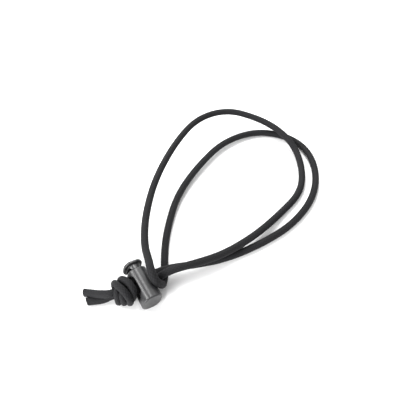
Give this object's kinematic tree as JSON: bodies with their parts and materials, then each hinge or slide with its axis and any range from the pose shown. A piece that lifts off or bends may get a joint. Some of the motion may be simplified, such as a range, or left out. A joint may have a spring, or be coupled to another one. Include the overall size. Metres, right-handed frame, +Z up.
{
  "type": "cord lock",
  "caption": "Black spring-loaded cord lock with a push button, clamped on a doubled elastic cord that is hooked round itself into a loop and knotted at its ends.",
  "frame": {"origin": "Bottom centre of the lock's bounding box, as it lies on its side without the cord.", "axes": "+Y runs from the barrel's closed end to the push button, +X is the side where the cord leaves towards the loop, +Z is up from the table. The lock is rolled 20 degrees about Y, so its cord passage points up at its -X end."},
  "size_m": [0.1228, 0.0745, 0.0116],
  "materials": {
    "black_plastic": "smooth black moulded plastic with soft highlights",
    "spring_steel": "drawn steel spring wire",
    "black_cord": "tight black braid over an elastic core"
  },
  "bodies": {
    "barrel": {"barrel": "black_plastic", "compression_spring": "spring_steel", "cord_loop": "black_cord", "cord_knot": "black_cord", "cord_tail_upper": "black_cord", "cord_tail_lower": "black_cord"},
    "plunger": {"plunger": "black_plastic"}
  },
  "joints": [
    {"name": "plunger_press", "type": "slide", "parent": "barrel", "child": "plunger", "axis": [0, -1, 0], "range_m": [0, 0.0021], "stiffness_N_per_m": 900, "springref_m": -0.003, "deforming": ["compression_spring"]}
  ]
}
